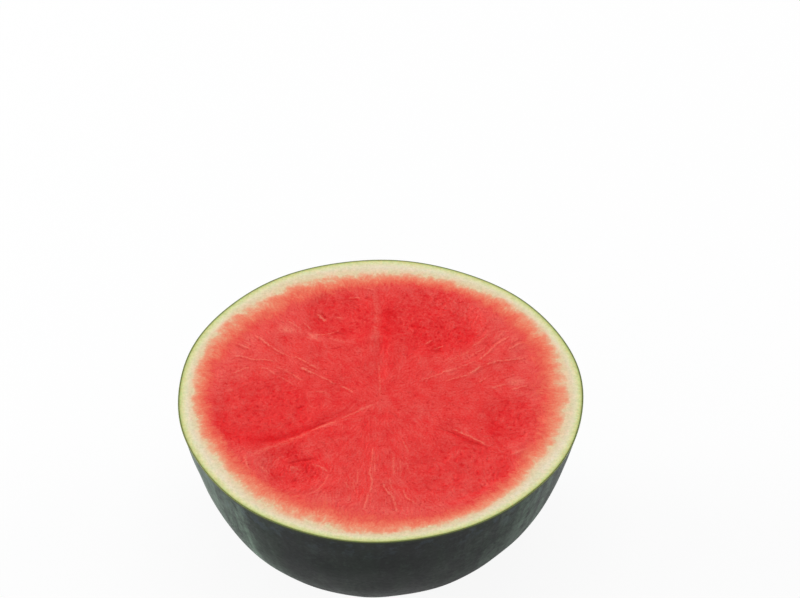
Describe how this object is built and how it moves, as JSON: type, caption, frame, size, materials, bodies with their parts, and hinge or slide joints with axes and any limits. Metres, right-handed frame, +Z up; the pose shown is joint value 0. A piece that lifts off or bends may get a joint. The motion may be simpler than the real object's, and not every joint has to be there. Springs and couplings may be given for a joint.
{
  "type": "halved watermelon",
  "caption": "Half of a round dark-skinned seedless watermelon, cut across the fruit, resting cut face up on its stem end.",
  "frame": {"origin": "middle of the footprint on the ground: bottom centre of the bounding box, with the ring round the stem scar at Z 0", "axes": "+Z up along the fruit's stem-to-blossom axis and square to the cut face; +Y away from the viewer along one of the three carpel walls; +X to the viewer's right"},
  "size_m": [0.2174, 0.2178, 0.1009],
  "materials": {
    "rind_and_flesh": "waxy dark green skin with a soft shine; the cut face shows a lime line, cream rind and moist grainy red flesh"
  },
  "bodies": {
    "root": {"watermelon_half": "rind_and_flesh"}
  },
  "joints": []
}
